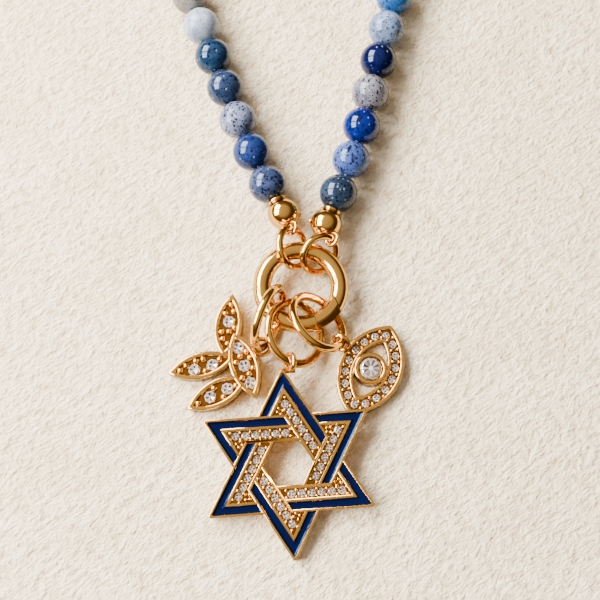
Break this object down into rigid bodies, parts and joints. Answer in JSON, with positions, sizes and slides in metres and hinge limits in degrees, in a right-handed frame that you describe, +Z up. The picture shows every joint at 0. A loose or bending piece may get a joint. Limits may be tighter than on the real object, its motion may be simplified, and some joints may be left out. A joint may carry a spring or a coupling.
{
  "type": "charm necklace",
  "caption": "Necklace of round stone beads laid flat, with gold end beads on a round gate clasp that carries a leaf sprig, a woven star and an eye charm.",
  "frame": {"origin": "middle of the laid necklace's outline, on the surface it lies on", "axes": "+Z up from that surface, +Y from the charms along the bead loop, +X to the right as seen from above"},
  "size_m": [0.0958, 0.2366, 0.0103],
  "materials": {
    "gold_metal": "polished gold plating",
    "bead_stone": "polished, speckled, slightly clear",
    "thread": "twisted beading thread",
    "blue_enamel": "glossy enamel",
    "clear_stones": "cut and polished"
  },
  "bodies": {
    "necklace": {"thread": "thread", "stone_beads": "bead_stone", "end_bead_left": "gold_metal", "end_bead_right": "gold_metal", "link_ring_left": "gold_metal", "link_ring_right": "gold_metal", "clasp_ring": "gold_metal", "charm_ring_left": "gold_metal", "charm_ring_middle": "gold_metal", "charm_ring_right": "gold_metal", "star_frame": "gold_metal", "star_enamel": "blue_enamel", "star_stones": "clear_stones", "eye_frame": "gold_metal", "eye_stones": "clear_stones", "eye_center_stone": "clear_stones", "sprig_frame": "gold_metal", "sprig_stones": "clear_stones"},
    "gate": {"clasp_gate": "gold_metal"}
  },
  "joints": [
    {"name": "gate_hinge", "type": "hinge", "parent": "necklace", "child": "gate", "pos_m": [0.00742, -0.08456, 0.00305], "axis": [0, 0, 1], "range_deg": [0, 10], "stiffness_Nm_per_rad": 0.0005, "springref_deg": -17.19}
  ]
}
